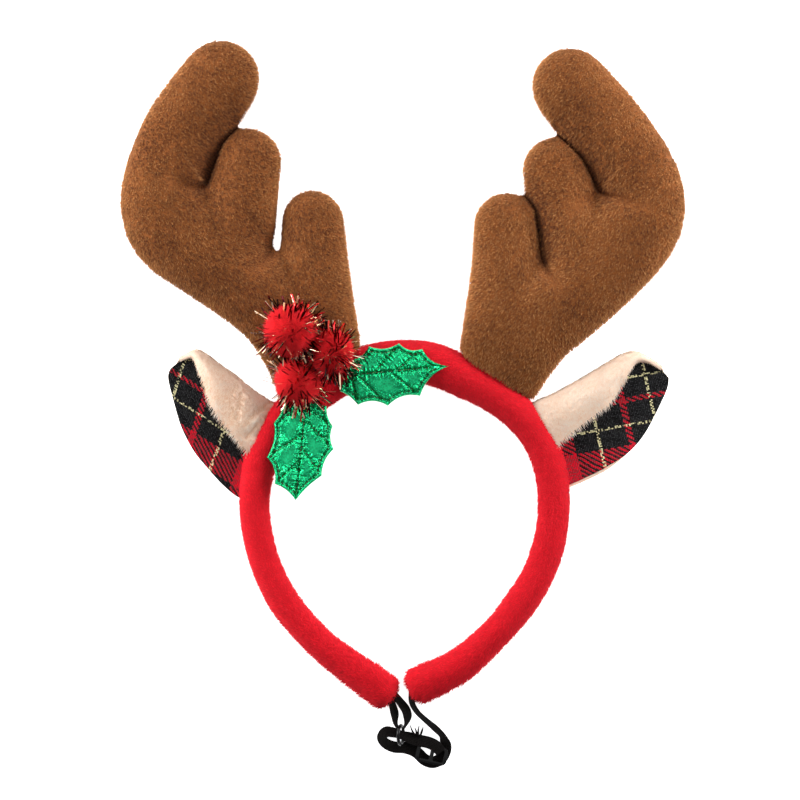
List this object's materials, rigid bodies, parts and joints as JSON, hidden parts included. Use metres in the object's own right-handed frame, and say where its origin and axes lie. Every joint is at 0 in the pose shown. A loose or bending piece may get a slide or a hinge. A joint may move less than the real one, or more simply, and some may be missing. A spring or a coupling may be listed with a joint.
{
  "type": "reindeer antler headband",
  "caption": "Padded red headband for a pet with stuffed brown antlers, folded tartan-lined ears, holly leaves, pompom berries and an elastic fastening.",
  "frame": {"origin": "on the surface below the middle of the box of everything but the elastic, with the headband lying on its back", "axes": "+Z out of the front, away from the surface; +Y from the elastic towards the antler tips; +X to the right as seen from the front"},
  "size_m": [0.2814, 0.3653, 0.0469],
  "materials": {
    "red_plush": "short-pile red plush over soft padding",
    "brown_plush": "short-nap brown plush, stuffed",
    "cream_plush": "short-pile cream plush",
    "tartan": "woven black and red tartan with metallic gold threads",
    "green_foil": "crinkled green metallic foil cloth with stitched veins",
    "berry_red": "red fibre pompom with tinsel strands",
    "black_elastic": "flat black braided elastic",
    "black_plastic": "glossy black moulded plastic"
  },
  "bodies": {
    "root": {"headband": "red_plush", "antler_left": "brown_plush", "antler_right": "brown_plush", "ear_left_plush": "cream_plush", "ear_left_plaid": "tartan", "ear_right_plush": "cream_plush", "ear_right_plaid": "tartan", "holly_leaf_upper": "green_foil", "holly_leaf_lower": "green_foil", "berry_top": "berry_red", "berry_right": "berry_red", "berry_bottom": "berry_red", "elastic_loop": "black_elastic", "elastic_strap": "black_elastic", "elastic_ring": "black_plastic", "elastic_slider": "black_plastic"}
  },
  "joints": []
}
